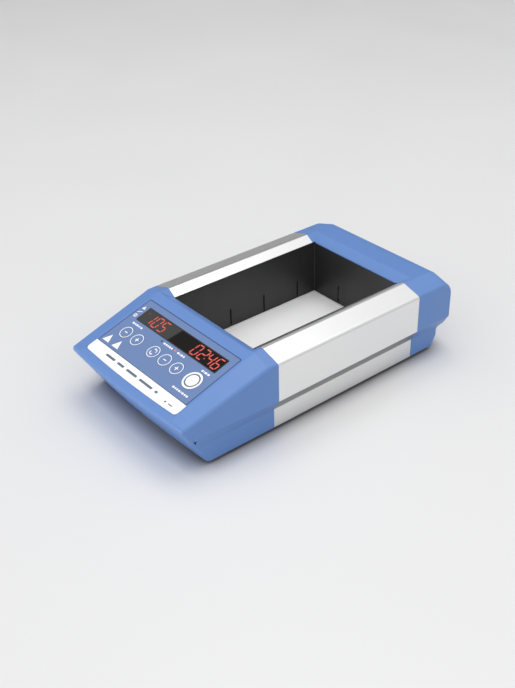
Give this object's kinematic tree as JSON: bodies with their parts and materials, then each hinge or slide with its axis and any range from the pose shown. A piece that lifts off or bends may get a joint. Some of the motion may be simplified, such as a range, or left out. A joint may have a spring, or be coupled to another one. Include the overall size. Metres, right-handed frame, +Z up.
{
  "type": "dry block heater",
  "caption": "Bench dry block heater: rectangular well with a flat heating plate between pale side rails, blue moulded end caps, sloping membrane control panel with red displays.",
  "frame": {"origin": "centre of the bounding box at the bench surface the object stands on", "axes": "+X to the operator's right, +Y towards the back, +Z up"},
  "size_m": [0.16, 0.284, 0.0704],
  "materials": {
    "housing_blue": "finely textured injection moulding, satin",
    "rail_coating": "smooth pale satin coating on an aluminium extrusion",
    "liner_black": "black satin coating on sheet steel",
    "plate_metal": "finely brushed",
    "base_steel": "grey zinc-coated sheet",
    "foot_rubber": "moulded rubber",
    "heater_silicone": "silicone heater mat",
    "insulation_wool": "pressed glass-fibre felt",
    "brass": "turned",
    "probe_steel": "drawn tube",
    "cutout_ceramic": "unglazed",
    "lead_sleeve": "sleeved wire",
    "overlay_film": "printed polyester film",
    "key_film": "printed polyester film",
    "label_film": "white polyester film",
    "window_lens": "dark tinted acrylic",
    "display_red": "seven-segment module",
    "lamp_lens": "clear lens",
    "circuit_board": "solder-masked laminate",
    "component_black": "moulded component case",
    "transformer_tape": "taped winding",
    "heat_sink_metal": "anodised",
    "ribbon_grey": "flat cable",
    "inlet_black": "moulded",
    "rocker_black": "moulded",
    "fuse_glass": "clear glass tube",
    "screw_steel": "zinc-plated"
  },
  "bodies": {
    "housing": {"front_cap": "housing_blue", "rear_cap": "housing_blue", "right_rail": "rail_coating", "left_rail": "rail_coating", "well_liner": "liner_black", "heating_plate": "plate_metal", "base_plate": "base_steel", "feet": "foot_rubber", "heater_mat": "heater_silicone", "insulation_pad": "insulation_wool", "liner_insulation": "insulation_wool", "plate_standoffs": "brass", "board_posts": "brass", "inlet_pins": "brass", "temperature_sensor": "probe_steel", "thermal_cutout": "cutout_ceramic", "heater_leads": "lead_sleeve", "power_wires": "lead_sleeve", "membrane_overlay": "overlay_film", "label_strip": "label_film", "display_window": "window_lens", "temperature_display": "display_red", "timer_display": "display_red", "counter_lamp": "lamp_lens", "timer_lamp": "lamp_lens", "power_lamp": "lamp_lens", "control_board": "circuit_board", "power_board": "circuit_board", "tact_switches": "component_black", "relay": "component_black", "transformer": "transformer_tape", "heat_sink": "heat_sink_metal", "ribbon_cable": "ribbon_grey", "mains_inlet": "inlet_black", "switch_frame": "inlet_black", "base_screws": "screw_steel", "cap_screws": "screw_steel", "liner_screws": "screw_steel", "board_screws": "screw_steel"},
    "key_temp_down_body": {"key_temp_down": "key_film"},
    "key_temp_up_body": {"key_temp_up": "key_film"},
    "key_mode_body": {"key_mode": "key_film"},
    "key_time_down_body": {"key_time_down": "key_film"},
    "key_time_up_body": {"key_time_up": "key_film"},
    "key_start_stop_body": {"key_start_stop": "key_film"},
    "fuse_drawer_body": {"fuse_drawer": "inlet_black", "fuses": "fuse_glass"},
    "rocker_body": {"switch_rocker": "rocker_black"}
  },
  "joints": [
    {"name": "key_temp_down_press", "type": "slide", "parent": "housing", "child": "key_temp_down_body", "axis": [0, 0.306, -0.952], "range_m": [0, 0.0004], "stiffness_N_per_m": 2500, "springref_m": -0.0002},
    {"name": "key_temp_up_press", "type": "slide", "parent": "housing", "child": "key_temp_up_body", "axis": [0, 0.306, -0.952], "range_m": [0, 0.0004], "stiffness_N_per_m": 2500, "springref_m": -0.0002},
    {"name": "key_mode_press", "type": "slide", "parent": "housing", "child": "key_mode_body", "axis": [0, 0.306, -0.952], "range_m": [0, 0.0004], "stiffness_N_per_m": 2500, "springref_m": -0.0002},
    {"name": "key_time_down_press", "type": "slide", "parent": "housing", "child": "key_time_down_body", "axis": [0, 0.306, -0.952], "range_m": [0, 0.0004], "stiffness_N_per_m": 2500, "springref_m": -0.0002},
    {"name": "key_time_up_press", "type": "slide", "parent": "housing", "child": "key_time_up_body", "axis": [0, 0.306, -0.952], "range_m": [0, 0.0004], "stiffness_N_per_m": 2500, "springref_m": -0.0002},
    {"name": "key_start_stop_press", "type": "slide", "parent": "housing", "child": "key_start_stop_body", "axis": [0, 0.306, -0.952], "range_m": [0, 0.0004], "stiffness_N_per_m": 2500, "springref_m": -0.0002},
    {"name": "fuse_drawer_slide", "type": "slide", "parent": "housing", "child": "fuse_drawer_body", "axis": [0, 1, 0], "range_m": [0, 0.02]},
    {"name": "mains_switch_rock", "type": "hinge", "parent": "housing", "child": "rocker_body", "pos_m": [-0.035, 0.132, 0.039], "axis": [-1, 0, 0], "range_deg": [0, 16]}
  ]
}
